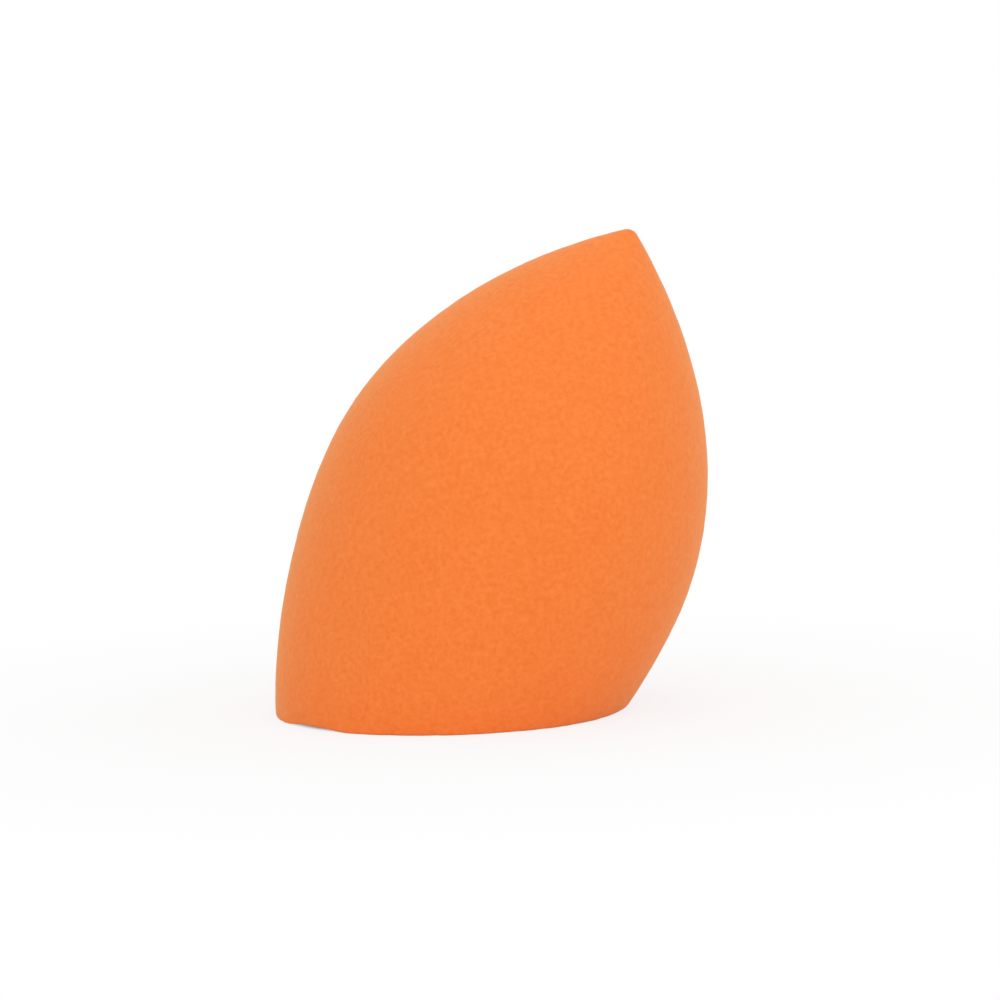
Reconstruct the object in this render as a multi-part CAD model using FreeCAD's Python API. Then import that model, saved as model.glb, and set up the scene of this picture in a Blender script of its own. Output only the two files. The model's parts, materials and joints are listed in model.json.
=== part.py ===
"""Makeup sponge: one moulded teardrop of soft foam, sliced flat at a slant so that it stands on the slice.

Units are millimetres and degrees, with +Z up. The origin is where the teardrop's own axis meets the slice,
on the surface that the sponge stands on. The tip leans towards +X, and the XZ plane is a mirror plane.
"""
import FreeCAD, Part
import math
import os

# Teardrop as it leaves the mould, measured along and across its own axis
BELLY_DIAMETER = 40.0
TIP_TO_BELLY = 34.0
BELLY_TO_BOTTOM = 37.3
TIP_RADIUS = 1.2
TIP_HALF_ANGLE = 54.0

# How full the outline is: each handle of its curves, as a share of the length that it lies along
FLANK_TIP_HANDLE_SHARE = 0.212
FLANK_BELLY_HANDLE_SHARE = 0.518
BOTTOM_POLE_HANDLE_SHARE = 0.752

# Slanted slice that makes the flat standing face
STANDING_HEIGHT = 49.1
SLICE_ANGLE = 24.7
SLICE_EDGE_RADIUS = 0.35

# How far the slicing block reaches past the teardrop
CUT_OVERRUN = 5.0

BELLY_RADIUS = BELLY_DIAMETER / 2
TIP_ANGLE_RAD = math.radians(TIP_HALF_ANGLE)
SLICE_ANGLE_RAD = math.radians(SLICE_ANGLE)


def bezier(*poles):
    """An edge along the Bezier curve with these poles."""
    curve = Part.BezierCurve()
    curve.setPoles(list(poles))
    return curve.toShape()


def apex_height():
    """How far along the axis the tip's apex lies from the slice.

    The axis leans, so the rounded tip's highest point stands a little higher than its apex does.
    """
    tip_overhang = TIP_RADIUS * (1 - math.cos(SLICE_ANGLE_RAD))
    return (STANDING_HEIGHT - tip_overhang) / math.cos(SLICE_ANGLE_RAD)


def outline():
    """Half outline of the teardrop in the XZ plane, on an upright axis, as a closed wire.

    It runs from the rounded tip down the flank to the belly, and on to the bottom. The two curves share
    their tangent and their curvature at the belly, so the foam has no visible line there.
    """
    apex_z = apex_height()
    belly_z = apex_z - TIP_TO_BELLY
    bottom_z = belly_z - BELLY_TO_BOTTOM
    point = FreeCAD.Vector

    tip_centre = point(0, 0, apex_z - TIP_RADIUS)
    apex = point(0, 0, apex_z)
    half_way = (math.pi / 2 + TIP_ANGLE_RAD) / 2
    tip_middle = tip_centre + point(math.cos(half_way), 0, math.sin(half_way)) * TIP_RADIUS
    tip_end = tip_centre + point(math.cos(TIP_ANGLE_RAD), 0, math.sin(TIP_ANGLE_RAD)) * TIP_RADIUS

    down_flank = point(math.sin(TIP_ANGLE_RAD), 0, -math.cos(TIP_ANGLE_RAD))
    belly = point(BELLY_RADIUS, 0, belly_z)
    flank_tip_handle = tip_end + down_flank * (FLANK_TIP_HANDLE_SHARE * TIP_TO_BELLY)
    flank_belly_reach = FLANK_BELLY_HANDLE_SHARE * TIP_TO_BELLY
    flank_belly_handle = point(BELLY_RADIUS, 0, belly_z + flank_belly_reach)

    bottom = point(0, 0, bottom_z)
    bottom_pole_handle = point(BOTTOM_POLE_HANDLE_SHARE * BELLY_RADIUS, 0, bottom_z)
    # equal curvature on both sides of the belly fixes the length of the lower handle there
    flank_bow = BELLY_RADIUS - flank_tip_handle.x
    bottom_bow = BELLY_RADIUS - bottom_pole_handle.x
    bottom_belly_reach = flank_belly_reach * math.sqrt(bottom_bow / flank_bow)
    bottom_belly_handle = point(BELLY_RADIUS, 0, belly_z - bottom_belly_reach)

    return Part.Wire([
        Part.Arc(apex, tip_middle, tip_end).toShape(),
        bezier(tip_end, flank_tip_handle, flank_belly_handle, belly),
        bezier(belly, bottom_belly_handle, bottom_pole_handle, bottom),
        Part.makeLine(bottom, apex),
    ])


def moulded_teardrop():
    """The whole teardrop, leaning over its axis's foot by the slice's angle."""
    origin = FreeCAD.Vector(0, 0, 0)
    teardrop = Part.Face(outline()).revolve(origin, FreeCAD.Vector(0, 0, 1), 360)
    teardrop.rotate(origin, FreeCAD.Vector(0, 1, 0), SLICE_ANGLE)
    return teardrop


def above_slice(teardrop):
    """A block that holds the whole teardrop above the slice, which is the plane z = 0."""
    box = teardrop.BoundBox
    corner = FreeCAD.Vector(box.XMin - CUT_OVERRUN, box.YMin - CUT_OVERRUN, 0)
    margin = 2 * CUT_OVERRUN
    return Part.makeBox(box.XLength + margin, box.YLength + margin, box.ZMax + CUT_OVERRUN, corner)


def sponge_body():
    """The foam body: the teardrop above the slice, with the slice's edge softened as foam leaves a blade."""
    teardrop = moulded_teardrop()
    sliced = teardrop.common(above_slice(teardrop)).Solids[0]
    slice_face = next(face for face in sliced.Faces if isinstance(face.Surface, Part.Plane))
    return sliced.makeFillet(SLICE_EDGE_RADIUS, slice_face.Edges).Solids[0]


def main():
    os.makedirs("parts", exist_ok=True)
    sponge_body().exportStep("parts/sponge_body.step")


main()
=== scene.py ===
"""Looks of the makeup sponge: one moulded teardrop of fine-celled foam that stands on its slanted slice.

Everything is in metres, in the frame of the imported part: +Z is up, the teardrop's own axis leans towards
+X and meets the slice at the origin, and the floor is the plane of the slice.
"""
import json
import math

import bpy
import numpy as np
from mathutils import Matrix, Vector


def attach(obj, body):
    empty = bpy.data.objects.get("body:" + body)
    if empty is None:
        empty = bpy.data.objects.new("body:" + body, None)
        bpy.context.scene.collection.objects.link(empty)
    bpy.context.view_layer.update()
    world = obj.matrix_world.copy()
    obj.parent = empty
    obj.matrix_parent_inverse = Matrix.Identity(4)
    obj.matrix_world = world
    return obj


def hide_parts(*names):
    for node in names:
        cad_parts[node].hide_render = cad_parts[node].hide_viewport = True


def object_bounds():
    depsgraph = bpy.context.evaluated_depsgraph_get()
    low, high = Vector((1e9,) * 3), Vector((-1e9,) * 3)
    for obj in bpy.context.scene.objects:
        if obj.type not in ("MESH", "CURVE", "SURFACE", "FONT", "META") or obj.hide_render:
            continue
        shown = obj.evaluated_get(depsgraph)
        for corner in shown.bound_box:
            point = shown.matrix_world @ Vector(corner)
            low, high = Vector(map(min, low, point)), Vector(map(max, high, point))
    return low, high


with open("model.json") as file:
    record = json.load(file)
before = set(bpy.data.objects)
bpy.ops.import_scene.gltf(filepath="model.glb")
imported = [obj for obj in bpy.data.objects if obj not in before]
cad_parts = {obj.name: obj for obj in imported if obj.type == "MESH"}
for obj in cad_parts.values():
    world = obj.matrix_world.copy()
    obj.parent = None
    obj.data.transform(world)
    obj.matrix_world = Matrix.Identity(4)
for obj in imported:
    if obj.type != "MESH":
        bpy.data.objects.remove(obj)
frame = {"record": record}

CAD_LOW, CAD_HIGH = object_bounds()
STANDING_FACE = frame["record"]["mounts"][0]
MM = 0.001

# Teardrop as it leaves the mould, along and across its own axis, as in the part
BELLY_RADIUS = (CAD_HIGH.y - CAD_LOW.y) / 2
STANDING_HEIGHT = CAD_HIGH.z
TIP_TO_BELLY = 34.0 * MM
BELLY_TO_BOTTOM = 37.3 * MM
TIP_RADIUS = 1.2 * MM
TIP_HALF_ANGLE = math.radians(54.0)
SLICE_ANGLE = math.radians(24.7)
FLANK_TIP_HANDLE_SHARE = 0.212
FLANK_BELLY_HANDLE_SHARE = 0.518
BOTTOM_POLE_HANDLE_SHARE = 0.752

# Grid of the foam's surface: meridians round the axis, and rows from the tip to the middle of the slice
MERIDIANS = 384
SKIN_ROWS = 190
ROW_CROWDING = 1.4
EDGE_ROWS = 7
SLICE_ROWS = 58
RIM_ROW = SKIN_ROWS + EDGE_ROWS
CURVE_STEPS = 600
TIP_STEPS = 60

# What the blade leaves: an edge that is crisp from the heel, where it starts, and softens at the toe, where
# it slopes out, and a faint hollow across the slice near the heel
HEEL_SOFTNESS = 0.3 * MM
TOE_SOFTNESS = 1.0 * MM
TOE_POWER = 6
EDGE_WANDER_SHARE = 0.25
EDGE_WANDER_SIZE = 2.5 * MM
EDGE_SEED = 11
HOLLOW_DEPTH = 0.33 * MM
HOLLOW_START = CAD_LOW.x + 0.2 * MM
HOLLOW_RISE = 2.0 * MM
HOLLOW_END = CAD_LOW.x + 6.4 * MM
HOLLOW_FALL = 3.4 * MM
HOLLOW_HEIGHT = 3.0 * MM

# Relief of the foam: for each pattern its size or spacing, and how far it moves the surface
NOISE_TABLE = 64
PINHOLE_SPACING = 4.2 * MM
PINHOLE_SHARE = 0.3
PINHOLE_RADIUS = 0.30 * MM
PINHOLE_DEPTH = 0.05 * MM
PINHOLE_SEED = 12
OPEN_CELL_SPACING = 0.9 * MM
OPEN_CELL_SHARE = 1.0
OPEN_CELL_RADIUS = 0.5 * MM
OPEN_CELL_DEPTH = 0.10 * MM
OPEN_CELL_MARGIN = 1.2 * MM
OPEN_CELL_SEED = 13
SWELL_SIZE = 9.0 * MM
SWELL_DEPTH = 0.05 * MM
SWELL_SEED = 14
GRAIN_RELIEF_SIZE = 0.9 * MM
GRAIN_RELIEF_DEPTH = 0.022 * MM
GRAIN_RELIEF_SEED = 15

# Camera at the photograph's viewing angle, for a square picture
VIEW_AZIMUTH = math.radians(-7.492)
VIEW_ELEVATION = math.radians(6.192)
VIEW_ROLL = math.radians(1.325)
VIEW_DISTANCE = 520.0 * MM
VIEW_CENTRE = Vector((8.229, 0.0, 21.648)) * MM
NEAREST_SEEN = 5.2 * MM
LENS_MM = 182.0
SENSOR_MM = 36.0

# Soft studio light: an even sky, and two wide lamps by the direction that each shines from
SKY_STRENGTH = 0.639
FRONT_LAMP_FROM = Vector((0.0, -0.99, 0.12))
FRONT_LAMP_ENERGY = 0.727
FRONT_LAMP_ANGLE = math.radians(70.0)
TOP_LAMP_FROM = Vector((0.1, -0.2, 0.97))
TOP_LAMP_ENERGY = 0.881
TOP_LAMP_ANGLE = math.radians(110.0)

# Floor: it glows white to the camera, a little less near the sponge, where its shadow lies, and not
# under it
FLOOR_RADIUS = 15.0
FLOOR_FIRST_RING = 0.2 * MM
FLOOR_RINGS = 40
FLOOR_SHADOW_SHARE = 0.2
FLOOR_SHADOW_REACH = 80.0 * MM
FLOOR_CONTACT_DEPTH = 1.5 * MM
FLOOR_CONTACT_RINGS = 6

# The sRGB curve: a straight line for the darkest levels, and a power for the rest
FULL_LEVEL = 255
SRGB_LINE_END = 0.04045
SRGB_LINE_SLOPE = 12.92
SRGB_OFFSET = 0.055
SRGB_POWER = 2.4

# Sockets of the colour Mix node, whose names repeat for every type of value
MIX_SHARE = 0
MIX_FROM = 6
MIX_TO = 7
MIX_COLOUR = 2


def linear(hex_colour):
    """The linear colour, with alpha, of an sRGB colour written as six hex digits."""
    levels = np.frombuffer(bytes.fromhex(hex_colour), np.uint8) / FULL_LEVEL
    line = levels / SRGB_LINE_SLOPE
    curve = ((levels + SRGB_OFFSET) / (1 + SRGB_OFFSET)) ** SRGB_POWER
    return (*np.where(levels <= SRGB_LINE_END, line, curve), 1.0)


def bezier(poles):
    """Points on a cubic Bezier curve: its four poles weighted by the cubic Bernstein polynomials."""
    t = np.linspace(0, 1, CURVE_STEPS)
    weights = np.stack([(1 - t) ** 3, 3 * t * (1 - t) ** 2, 3 * t ** 2 * (1 - t), t ** 3], axis=1)
    return weights @ np.array(poles)


def teardrop_outline():
    """Half outline of the moulded teardrop, upright: length along it, distance from the axis, and height.

    An arc rounds the tip. A cubic curve runs down the flank to the belly, and another to the bottom. They
    share their tangent and their curvature at the belly, which fixes the second curve's first handle.
    """
    tip_overhang = TIP_RADIUS * (1 - math.cos(SLICE_ANGLE))
    apex = (STANDING_HEIGHT - tip_overhang) / math.cos(SLICE_ANGLE)
    belly = apex - TIP_TO_BELLY
    bottom = belly - BELLY_TO_BOTTOM
    turn = np.linspace(math.pi / 2, TIP_HALF_ANGLE, TIP_STEPS)
    tip = np.stack([np.cos(turn), np.sin(turn)], axis=1) * TIP_RADIUS + (0, apex - TIP_RADIUS)

    down_flank = np.array([math.sin(TIP_HALF_ANGLE), -math.cos(TIP_HALF_ANGLE)])
    tip_handle = tip[-1] + down_flank * (FLANK_TIP_HANDLE_SHARE * TIP_TO_BELLY)
    pole_handle = np.array([BOTTOM_POLE_HANDLE_SHARE * BELLY_RADIUS, bottom])
    reach_up = FLANK_BELLY_HANDLE_SHARE * TIP_TO_BELLY
    reach_down = reach_up * math.sqrt((BELLY_RADIUS - pole_handle[0]) / (BELLY_RADIUS - tip_handle[0]))
    flank = bezier([tip[-1], tip_handle, (BELLY_RADIUS, belly + reach_up), (BELLY_RADIUS, belly)])
    base = bezier([(BELLY_RADIUS, belly), (BELLY_RADIUS, belly - reach_down), pole_handle, (0, bottom)])

    points = np.concatenate([tip, flank[1:], base[1:]])
    steps = np.linalg.norm(np.diff(points, axis=0), axis=1)
    return np.concatenate([[0], np.cumsum(steps)]), points[:, 0], points[:, 1]


def lean(distance, height, angle):
    """Points at a distance from the axis, a height along it and an angle round it, on the leaning axis."""
    across = distance * np.cos(angle)
    return np.stack([
        across * math.cos(SLICE_ANGLE) + height * math.sin(SLICE_ANGLE),
        distance * np.sin(angle),
        height * math.cos(SLICE_ANGLE) - across * math.sin(SLICE_ANGLE),
    ], axis=-1)


def smooth_step(value):
    """Eases from 0 to 1 as the value goes from 0 to 1, and stays there outside."""
    t = np.clip(value, 0, 1)
    return t * t * (3 - 2 * t)


def lattice_noise(points, size, seed):
    """Smooth noise from -1 to 1: random values on the corners of a cubic lattice, eased between them."""
    table = np.random.default_rng(seed).uniform(-1, 1, (NOISE_TABLE,) * 3)
    corner = np.floor(points / size).astype(int)
    ease = smooth_step(points / size - corner)
    total = np.zeros(points.shape[:-1])
    for shift in np.ndindex(2, 2, 2):
        weight = np.prod(np.where(np.array(shift) == 1, ease, 1 - ease), axis=-1)
        index = (corner + shift) % NOISE_TABLE
        total += weight * table[index[..., 0], index[..., 1], index[..., 2]]
    return total


def nearest_cell(points, spacing, share, seed):
    """Distance to the nearest of some scattered points: a share of a lattice's cubes holds one each."""
    rng = np.random.default_rng(seed)
    places = rng.uniform(0, 1, (NOISE_TABLE,) * 3 + (3,))
    present = rng.uniform(0, 1, (NOISE_TABLE,) * 3) < share
    cube = np.floor(points / spacing).astype(int)
    nearest = np.full(points.shape[:-1], np.inf)
    for shift in np.ndindex(3, 3, 3):
        near = cube + np.array(shift) - 1
        index = near % NOISE_TABLE
        index = (index[..., 0], index[..., 1], index[..., 2])
        distance = np.linalg.norm((near + places[index]) * spacing - points, axis=-1)
        nearest = np.minimum(nearest, np.where(present[index], distance, np.inf))
    return nearest


def pit(distance, radius):
    """A round pit, 1 in its middle and 0 from its radius on: one less the squared share of it, squared."""
    return np.clip(1 - (distance / radius) ** 2, 0, 1) ** 2


def sliced_teardrop():
    """Grid of the smooth sponge, from the tip to the slice's middle, and how far in from the rim it is.

    Every meridian follows the leaning outline down to where it meets the slice, then runs straight to the
    origin. The corner between the two is a quadratic curve whose middle pole is the corner itself. It takes
    up the edge's softness on both sides, which grows from the heel to the toe by a power and wanders. The
    rows crowd towards the tip by a power, so that its small arc stays round.
    """
    along, distance, height = teardrop_outline()
    angle = np.linspace(0, 2 * math.pi, MERIDIANS, endpoint=False)
    above = lean(distance, height, angle[:, None])[..., 2]
    below = np.argmax(above < 0, axis=1)
    column = np.arange(MERIDIANS)
    drop = above[column, below - 1] / (above[column, below - 1] - above[column, below])
    length = along[below - 1] + drop * (along[below] - along[below - 1])

    def on_skin(at):
        return lean(np.interp(at, along, distance), np.interp(at, along, height), angle)

    corner = on_skin(length)
    corner[:, 2] = 0
    radius = np.linalg.norm(corner, axis=1)
    to_toe = (corner[:, 0] - corner[:, 0].min()) / np.ptp(corner[:, 0])
    softness = HEEL_SOFTNESS + (TOE_SOFTNESS - HEEL_SOFTNESS) * to_toe ** TOE_POWER
    softness *= 1 + EDGE_WANDER_SHARE * lattice_noise(corner, EDGE_WANDER_SIZE, EDGE_SEED)

    down = np.linspace(0, 1, SKIN_ROWS + 1)[1:, None]
    skin = on_skin(down ** ROW_CROWDING * (length - softness))
    start = skin[-1]
    end = corner * (1 - softness / radius)[:, None]
    t = np.linspace(0, 1, EDGE_ROWS + 2)[1:-1, None, None]
    edge = (1 - t) ** 2 * start + 2 * t * (1 - t) * corner + t ** 2 * end
    inward = np.linspace(0, 1, SLICE_ROWS + 1)[:-1, None]
    cut = end * (1 - inward)[..., None]

    inside = np.concatenate([np.zeros((RIM_ROW, MERIDIANS)), inward * radius])
    return np.concatenate([skin, edge, cut]), inside


def outward(rings):
    """Unit normals of a grid that closes round its columns: the cross product of its two differences."""
    down = np.gradient(rings, axis=0)
    around = np.roll(rings, -1, axis=1) - np.roll(rings, 1, axis=1)
    normals = np.cross(down, around)
    return normals / np.linalg.norm(normals, axis=-1, keepdims=True)


def foam_relief(rings, inside):
    """The sponge's grid with the relief of the foam, and how far each point is cut face and pitted.

    The moulded skin swells and dips faintly, has a fine grain and a few pinholes. The blade opens the cells
    of the cut face, which only pit upwards, and leaves the slice hollow near the heel: one eased ramp up
    and one down along it, which fade out up the flank.
    """
    cut = smooth_step(inside / OPEN_CELL_MARGIN)
    skin = 1 - cut
    from_pinhole = nearest_cell(rings, PINHOLE_SPACING, PINHOLE_SHARE, PINHOLE_SEED)
    from_cell = nearest_cell(rings, OPEN_CELL_SPACING, OPEN_CELL_SHARE, OPEN_CELL_SEED)
    pinhole = pit(from_pinhole, PINHOLE_RADIUS) * skin
    open_cell = pit(from_cell, OPEN_CELL_RADIUS) * cut
    swell = lattice_noise(rings, SWELL_SIZE, SWELL_SEED) * skin
    grain = lattice_noise(rings, GRAIN_RELIEF_SIZE, GRAIN_RELIEF_SEED) * skin
    relief = SWELL_DEPTH * swell + GRAIN_RELIEF_DEPTH * grain
    relief -= PINHOLE_DEPTH * pinhole + OPEN_CELL_DEPTH * open_cell
    raised = rings + relief[..., None] * outward(rings)

    along, _, height = np.moveaxis(rings, -1, 0)
    rise = smooth_step((along - HOLLOW_START) / HOLLOW_RISE)
    fall = smooth_step((HOLLOW_END - along) / HOLLOW_FALL)
    raised[..., 2] += HOLLOW_DEPTH * rise * fall * (1 - smooth_step(height / HOLLOW_HEIGHT))
    pitted = np.maximum(pinhole, open_cell)
    return raised, cut, pitted


def ring_mesh(name, rings, attributes, material, closed_below=True):
    """A smooth mesh from a grid of rings that run outwards or down, with a pole in its first ring's middle.

    Its last ring gets a pole too if the mesh is closed below. A pole is the mean of its ring, in place and
    in attributes.
    """
    rows, columns = rings.shape[:2]
    here = np.arange(columns)
    after = (here + 1) % columns
    first = np.arange(rows - 1)[:, None] * columns
    corners = [first + here, first + columns + here, first + columns + after, first + after]
    quads = np.stack(corners, axis=-1)
    top = np.full(columns, rows * columns)
    faces = quads.reshape(-1, 4).tolist() + np.stack([top, here, after], axis=-1).tolist()
    ends = [0]
    if closed_below:
        last = (rows - 1) * columns
        faces += np.stack([top + 1, last + after, last + here], axis=-1).tolist()
        ends.append(-1)

    mesh = bpy.data.meshes.new(name)
    points = np.concatenate([rings.reshape(-1, 3), rings[ends].mean(axis=1)])
    mesh.from_pydata(points.tolist(), [], faces)
    mesh.polygons.foreach_set("use_smooth", np.ones(len(mesh.polygons), dtype=bool))
    for attribute, grid in attributes.items():
        values = np.concatenate([grid.ravel(), grid[ends].mean(axis=1)])
        data = mesh.attributes.new(attribute, "FLOAT", "POINT").data
        data.foreach_set("value", values.astype(np.float32))
    mesh.materials.append(material)
    mesh.update()
    piece = bpy.data.objects.new(name, mesh)
    bpy.context.scene.collection.objects.link(piece)
    return piece


def node(tree, kind, inputs=(), **settings):
    """Adds one shader node: its settings, and for each input a value or the output that feeds it."""
    made = tree.nodes.new("ShaderNode" + kind)
    for name, value in settings.items():
        setattr(made, name, value)
    for socket, value in dict(inputs).items():
        if isinstance(value, bpy.types.NodeSocket):
            tree.links.new(value, made.inputs[socket])
        else:
            made.inputs[socket].default_value = value
    return made


def empty_tree(owner):
    """The node tree of a material or world, with nothing in it."""
    owner.use_nodes = True
    owner.node_tree.nodes.clear()
    return owner.node_tree


def seen(tree):
    """1 for what the camera sees straight, in a gloss or through glass, and 0 for light on the object."""
    path = node(tree, "LightPath").outputs
    plain = {0: path["Is Camera Ray"], 1: path["Is Glossy Ray"]}
    either = node(tree, "Math", plain, operation="MAXIMUM").outputs[0]
    through = {0: either, 1: path["Is Transmission Ray"]}
    return node(tree, "Math", through, operation="MAXIMUM").outputs[0]


# Polyurethane foam, moulded: dyed right through, dead matte, with cells so fine that they show as a soft
# grain, and painted shade in its pores and pits. Loose cell walls stand up like a nap, so the foam pales
# where it turns away. The blade's face is the same foam with more of its pores open and painted darker.
FOAM_LIGHT = "FE8B41"
FOAM_DARK = "F77A2E"
# the painted shade: the darker orange that pores and pits are mixed towards
PORE_PAINTED_SHADE = "DC6224"
NAP_TINT = "FFF8BE"
NAP_WEIGHT = 0.288
NAP_ROUGHNESS = 0.5
FOAM_IOR = 1.5
FOAM_GLOSS = 0.2
ROUGHNESS_DARK = 0.96
ROUGHNESS_LIGHT = 0.84
GRAIN_SIZE = 0.52 * MM
GRAIN_DETAIL = 1.0
GRAIN_LOW = 0.2
GRAIN_HIGH = 0.8
CLOUD_SIZE = 6.0 * MM
CLOUD_DETAIL = 2.0
CLOUD_SHARE = 0.13
# real cells are about 0.15 mm across, and are drawn coarser so that they show
CELL_SIZE = 0.32 * MM
CELL_BUMP = 0.02 * MM
PORE_RADIUS_SHARE = 0.45
# how far the pores are painted with shade, on the moulded skin and on the cut face
SKIN_PORE_SHADE_SHARE = 0.35
CUT_PORE_SHADE_SHARE = 0.9
# how far the pits are painted with shade
PIT_SHADE_SHARE = 0.6


def moulded_foam():
    """The foam's material: grain, cells and pores from patterns, cut face and pits from its attributes."""
    material = bpy.data.materials.new("moulded polyurethane foam")
    tree = empty_tree(material)
    place = node(tree, "TexCoord").outputs["Object"]
    fine = {"Vector": place, "Scale": 1 / GRAIN_SIZE, "Detail": GRAIN_DETAIL}
    broad = {"Vector": place, "Scale": 1 / CLOUD_SIZE, "Detail": CLOUD_DETAIL}
    grain = node(tree, "TexNoise", fine).outputs["Fac"]
    cloud = node(tree, "TexNoise", broad).outputs["Fac"]
    cells = node(tree, "TexVoronoi", {"Vector": place, "Scale": 1 / CELL_SIZE}, feature="F1").outputs
    cut = node(tree, "Attribute", attribute_name="cut").outputs["Fac"]
    pitted = node(tree, "Attribute", attribute_name="pitted").outputs["Fac"]

    # the tone of the grain, with a little of the cloud in it, sets the colour and the roughness
    mixed = node(tree, "Mix", {"Factor": CLOUD_SHARE, "A": grain, "B": cloud}).outputs["Result"]
    spread = {"Value": mixed, "From Min": GRAIN_LOW, "From Max": GRAIN_HIGH}
    tone = node(tree, "MapRange", spread).outputs["Result"]
    dyed = {MIX_SHARE: tone, MIX_FROM: linear(FOAM_DARK), MIX_TO: linear(FOAM_LIGHT)}
    dye = node(tree, "Mix", dyed, data_type="RGBA").outputs[MIX_COLOUR]
    matte = {"Value": tone, "To Min": ROUGHNESS_DARK, "To Max": ROUGHNESS_LIGHT}
    rough = node(tree, "MapRange", matte).outputs["Result"]

    # each cell holds one pore of painted shade, as open as the cell's own random value and the cut allow
    hole = {"Value": cells["Distance"], "From Min": PORE_RADIUS_SHARE, "From Max": 0.0}
    middle = node(tree, "MapRange", hole).outputs["Result"]
    opened = {"Value": cut, "To Min": SKIN_PORE_SHADE_SHARE, "To Max": CUT_PORE_SHADE_SHARE}
    most = node(tree, "MapRange", opened).outputs["Result"]
    share = node(tree, "Math", {0: cells["Color"], 1: most}, operation="MULTIPLY").outputs[0]
    pore = node(tree, "Math", {0: middle, 1: share}, operation="MULTIPLY").outputs[0]
    # the pits of the relief get painted shade too, and the colour is mixed towards the shade by the darker
    # of the two
    pit_shade = node(tree, "Math", {0: pitted, 1: PIT_SHADE_SHARE}, operation="MULTIPLY").outputs[0]
    painted_shade = node(tree, "Math", {0: pore, 1: pit_shade}, operation="MAXIMUM").outputs[0]
    shaded = {MIX_SHARE: painted_shade, MIX_FROM: dye, MIX_TO: linear(PORE_PAINTED_SHADE)}
    colour = node(tree, "Mix", shaded, data_type="RGBA").outputs[MIX_COLOUR]
    bump = node(tree, "Bump", {"Height": cells["Distance"], "Distance": CELL_BUMP}).outputs["Normal"]

    foam = node(tree, "BsdfPrincipled", {
        "Base Color": colour,
        "Roughness": rough,
        "IOR": FOAM_IOR,
        "Specular IOR Level": FOAM_GLOSS,
        "Sheen Weight": NAP_WEIGHT,
        "Sheen Roughness": NAP_ROUGHNESS,
        "Sheen Tint": linear(NAP_TINT),
        "Normal": bump,
    })
    node(tree, "OutputMaterial", {"Surface": foam.outputs["BSDF"]})
    return material


# Painted board, matt: an even white that takes soft shadows
BOARD_WHITE = "F1F1F1"
WHITE = "FFFFFF"
WHITE_STRENGTH = 1.0


def white_board():
    """The floor's material: to the camera it glows white by its own attribute, and else it is paint."""
    material = bpy.data.materials.new("matt painted board")
    tree = empty_tree(material)
    paint = node(tree, "BsdfDiffuse", {"Color": linear(BOARD_WHITE)})
    white = node(tree, "Emission", {"Color": linear(WHITE), "Strength": WHITE_STRENGTH})
    glow = node(tree, "Attribute", attribute_name="glow").outputs["Fac"]
    share = node(tree, "Math", {0: seen(tree), 1: glow}, operation="MULTIPLY").outputs[0]
    mixed = node(tree, "MixShader", {0: share, 1: paint.outputs[0], 2: white.outputs[0]})
    node(tree, "OutputMaterial", {"Surface": mixed.outputs[0]})
    return material


def make_sponge(rings, inside):
    """The foam body, which stands for the part's only solid."""
    raised, cut, pitted = foam_relief(rings, inside)
    sponge = ring_mesh("sponge_foam", raised, {"cut": cut, "pitted": pitted}, moulded_foam())
    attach(sponge, "root")
    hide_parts("sponge_body")


def make_floor(rim):
    """A round white floor in the plane of the standing face, in rings that follow the rim of the slice.

    Each ring is the rim moved outwards by a step, and the steps grow by a constant ratio. The glow rises
    evenly from nothing to the rim's share over the contact, and from there eases to the whole as far as the
    shadow reaches.
    """
    inner = np.linspace(-FLOOR_CONTACT_DEPTH, 0, FLOOR_CONTACT_RINGS)
    outer = np.geomspace(FLOOR_FIRST_RING, FLOOR_RADIUS, FLOOR_RINGS)
    step = np.concatenate([inner, outer])[:, None]
    rings = rim * (1 + step / np.linalg.norm(rim, axis=1))[..., None]
    rings[..., 2] = STANDING_FACE["pos_m"][2]
    at_rim = 1 - FLOOR_SHADOW_SHARE
    under = at_rim * np.clip(1 + step / FLOOR_CONTACT_DEPTH, 0, 1)
    glow = under + FLOOR_SHADOW_SHARE * smooth_step(step / FLOOR_SHADOW_REACH)
    glow = np.broadcast_to(glow, rings.shape[:2])
    ring_mesh("floor", rings, {"glow": glow}, white_board(), closed_below=False)


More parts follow.
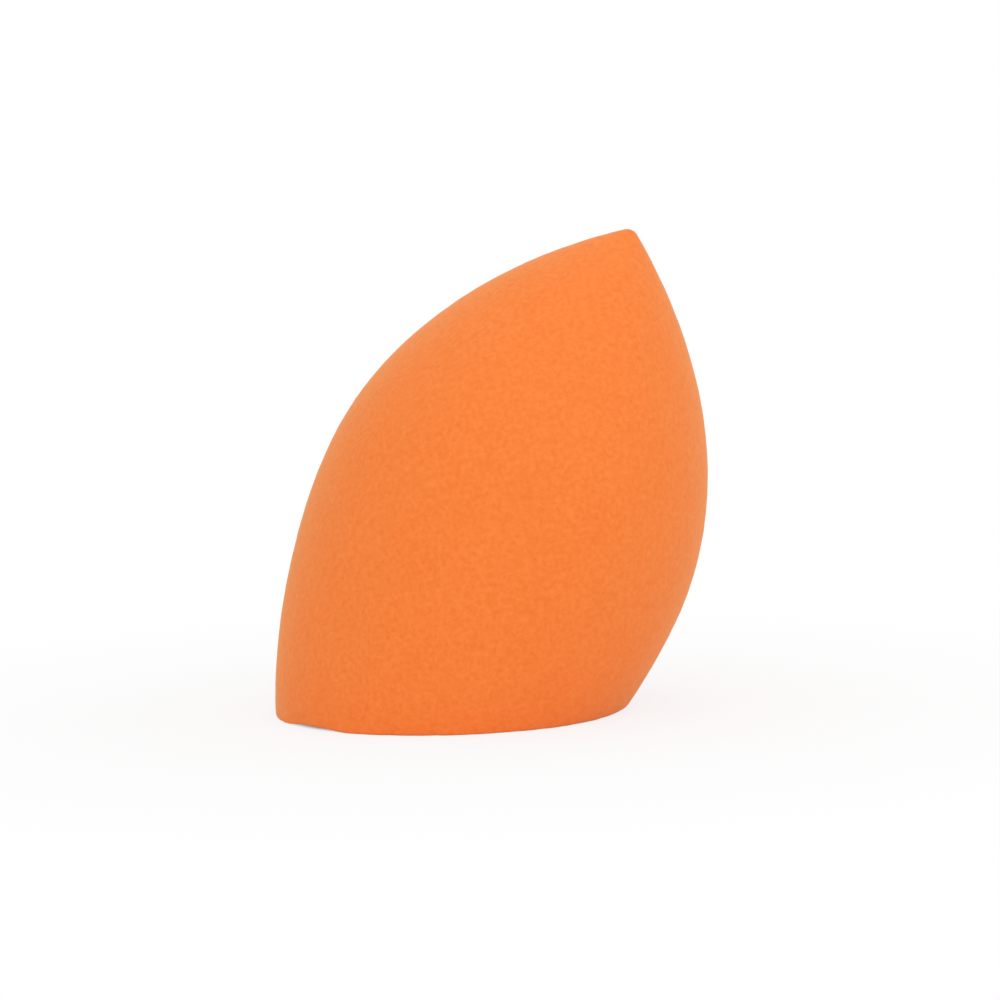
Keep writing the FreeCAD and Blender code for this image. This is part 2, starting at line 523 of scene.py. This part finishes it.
def make_light():
    """An even sky, white where the camera sees it, and two wide lamps: one in front and one overhead."""
    world = bpy.data.worlds.new("white sky")
    tree = empty_tree(world)
    sky = node(tree, "Background", {"Color": linear(WHITE), "Strength": SKY_STRENGTH})
    backdrop = node(tree, "Background", {"Color": linear(WHITE), "Strength": WHITE_STRENGTH})
    mixed = node(tree, "MixShader", {0: seen(tree), 1: sky.outputs[0], 2: backdrop.outputs[0]})
    node(tree, "OutputWorld", {"Surface": mixed.outputs[0]})
    bpy.context.scene.world = world

    for name, source, energy, angle in (
        ("front_lamp", FRONT_LAMP_FROM, FRONT_LAMP_ENERGY, FRONT_LAMP_ANGLE),
        ("top_lamp", TOP_LAMP_FROM, TOP_LAMP_ENERGY, TOP_LAMP_ANGLE),
    ):
        lamp = bpy.data.objects.new(name, bpy.data.lights.new(name, "SUN"))
        lamp.data.energy = energy
        lamp.data.angle = angle
        lamp.rotation_euler = source.to_track_quat("Z", "Y").to_euler()
        bpy.context.scene.collection.objects.link(lamp)


def make_camera():
    """The camera, turned about its own view line so that the picture is as level as the photograph."""
    level = math.cos(VIEW_ELEVATION)
    back = Vector((
        math.sin(VIEW_AZIMUTH) * level,
        -math.cos(VIEW_AZIMUTH) * level,
        math.sin(VIEW_ELEVATION),
    ))
    right = Vector((math.cos(VIEW_AZIMUTH), math.sin(VIEW_AZIMUTH), 0))
    up = back.cross(right)
    across = right * math.cos(VIEW_ROLL) - up * math.sin(VIEW_ROLL)
    upright = right * math.sin(VIEW_ROLL) + up * math.cos(VIEW_ROLL)
    turn = Matrix((across, upright, back)).transposed().to_4x4()
    camera = bpy.data.objects.new("camera", bpy.data.cameras.new("camera"))
    camera.matrix_world = Matrix.Translation(VIEW_CENTRE + back * VIEW_DISTANCE) @ turn
    camera.data.sensor_width = SENSOR_MM
    camera.data.lens = LENS_MM
    camera.data.clip_start = NEAREST_SEEN
    bpy.context.scene.collection.objects.link(camera)
    bpy.context.scene.camera = camera


smooth_rings, inside_slice = sliced_teardrop()
make_sponge(smooth_rings, inside_slice)
make_floor(smooth_rings[RIM_ROW])
make_light()
make_camera()
bpy.context.scene.view_settings.view_transform = "Standard"
